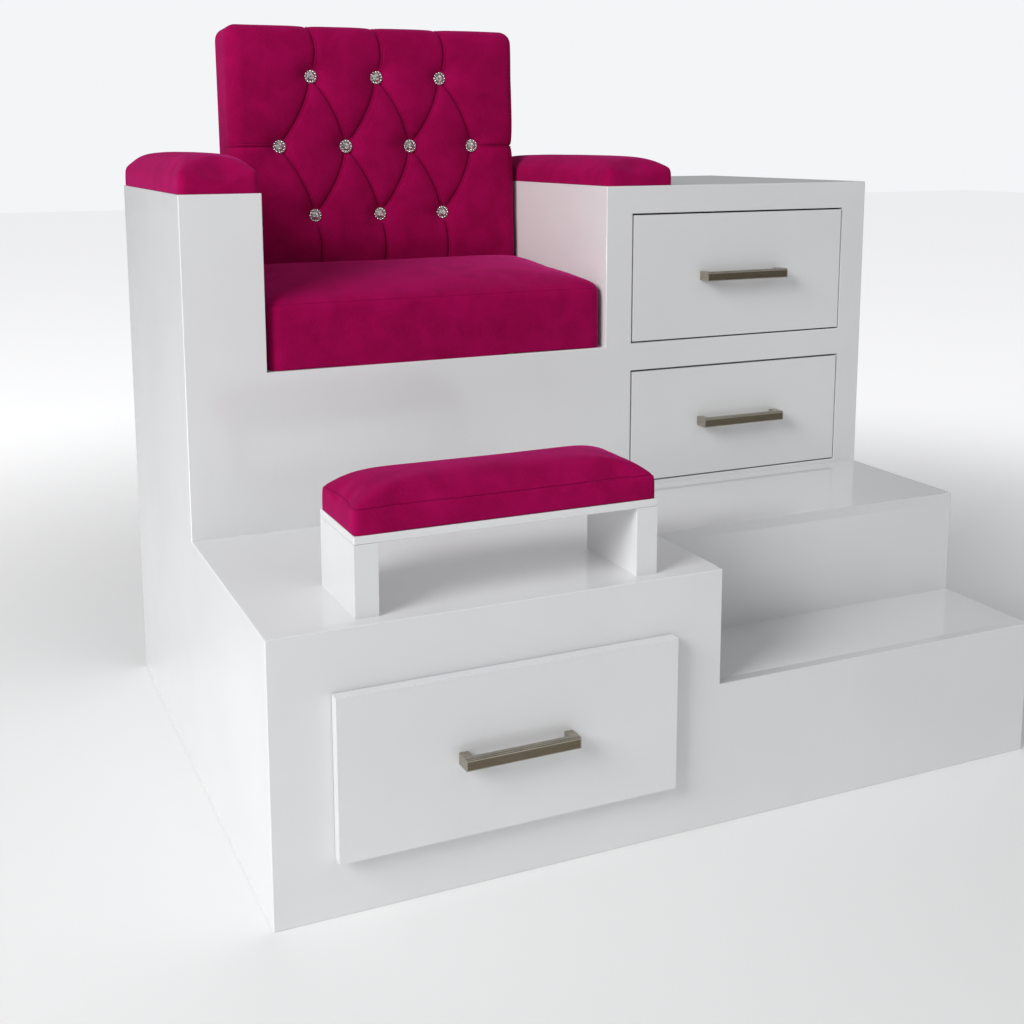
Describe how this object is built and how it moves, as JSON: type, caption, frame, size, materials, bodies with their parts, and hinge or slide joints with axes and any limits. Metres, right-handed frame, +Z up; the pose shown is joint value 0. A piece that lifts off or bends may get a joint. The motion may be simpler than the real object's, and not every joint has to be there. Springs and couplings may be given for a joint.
{
  "type": "pedicure spa chair",
  "caption": "High-gloss bench seat on a stepped platform, with a drawer cabinet beside it, tufted velvet back, padded arms and a padded footrest.",
  "frame": {"origin": "on the floor, at the centre of the overall box in plan", "axes": "+X to the sitter's left, towards the cabinet; +Y from the platform's front to the back rest; +Z up"},
  "size_m": [1.36, 1.078, 1.2965],
  "materials": {
    "lacquer": "board with high-gloss white lacquer",
    "velvet": "magenta velvet over foam",
    "plywood": "clear-sealed birch plywood",
    "softwood": "planed softwood",
    "steel": "zinc-plated steel",
    "bronze": "brushed bronze-nickel",
    "crystal": "cut crystal, silvered at the back",
    "rubber": "moulded black rubber"
  },
  "bodies": {
    "casework": {"left_side_panel": "lacquer", "right_side_panel": "lacquer", "back_panel": "lacquer", "upper_front_panel": "lacquer", "platform_front_panel": "lacquer", "platform_deck": "lacquer", "platform_cheek": "lacquer", "step_riser": "lacquer", "step_tread": "lacquer", "platform_divider": "plywood", "runner_boards": "plywood", "left_arm_inner_panel": "lacquer", "left_arm_top": "lacquer", "cabinet_wall": "lacquer", "cabinet_top": "lacquer", "cabinet_shelf": "plywood", "slide_packers": "softwood", "seat_deck": "lacquer", "seat_rib": "plywood", "back_uprights": "softwood", "rear_cap": "lacquer", "corner_blocks": "softwood", "back_panel_screws": "steel", "levelling_feet": "rubber", "seat_board": "plywood", "seat_cushion": "velvet", "back_board": "plywood", "back_cushion": "velvet", "button_settings": "steel", "button_crystals": "crystal", "arm_pad_boards": "plywood", "left_arm_pad": "velvet", "right_arm_pad": "velvet", "footrest_legs": "lacquer", "footrest_top": "lacquer", "footrest_screws": "steel", "footrest_cushion": "velvet", "fixed_slide_members": "steel"},
    "upper_drawer": {"upper_drawer_front": "lacquer", "upper_drawer_box_walls": "plywood", "upper_drawer_bottom": "plywood", "upper_drawer_pull": "bronze", "upper_drawer_screws": "steel", "upper_drawer_slide_members": "steel"},
    "upper_middle_slides": {"upper_middle_slide_members": "steel"},
    "lower_drawer": {"lower_drawer_front": "lacquer", "lower_drawer_box_walls": "plywood", "lower_drawer_bottom": "plywood", "lower_drawer_pull": "bronze", "lower_drawer_screws": "steel", "lower_drawer_slide_members": "steel"},
    "lower_middle_slides": {"lower_middle_slide_members": "steel"},
    "platform_drawer": {"platform_drawer_front": "lacquer", "platform_drawer_box_walls": "plywood", "platform_drawer_bottom": "plywood", "platform_drawer_pull": "bronze", "platform_drawer_screws": "steel", "platform_drawer_slide_members": "steel"},
    "platform_middle_slides": {"platform_middle_slide_members": "steel"}
  },
  "joints": [
    {"name": "upper_drawer_slide", "type": "slide", "parent": "casework", "child": "upper_drawer", "axis": [0, -1, 0], "range_m": [0, 0.4]},
    {"name": "upper_middle_slide", "type": "slide", "parent": "casework", "child": "upper_middle_slides", "axis": [0, -1, 0], "range_m": [0, 0.2]},
    {"name": "lower_drawer_slide", "type": "slide", "parent": "casework", "child": "lower_drawer", "axis": [0, -1, 0], "range_m": [0, 0.4]},
    {"name": "lower_middle_slide", "type": "slide", "parent": "casework", "child": "lower_middle_slides", "axis": [0, -1, 0], "range_m": [0, 0.2]},
    {"name": "platform_drawer_slide", "type": "slide", "parent": "casework", "child": "platform_drawer", "axis": [0, -1, 0], "range_m": [0, 0.36]},
    {"name": "platform_middle_slide", "type": "slide", "parent": "casework", "child": "platform_middle_slides", "axis": [0, -1, 0], "range_m": [0, 0.18]}
  ],
  "couplings": [
    {"joint": "upper_middle_slide", "follows": "upper_drawer_slide", "ratio": 0.5},
    {"joint": "lower_middle_slide", "follows": "lower_drawer_slide", "ratio": 0.5},
    {"joint": "platform_middle_slide", "follows": "platform_drawer_slide", "ratio": 0.5}
  ]
}
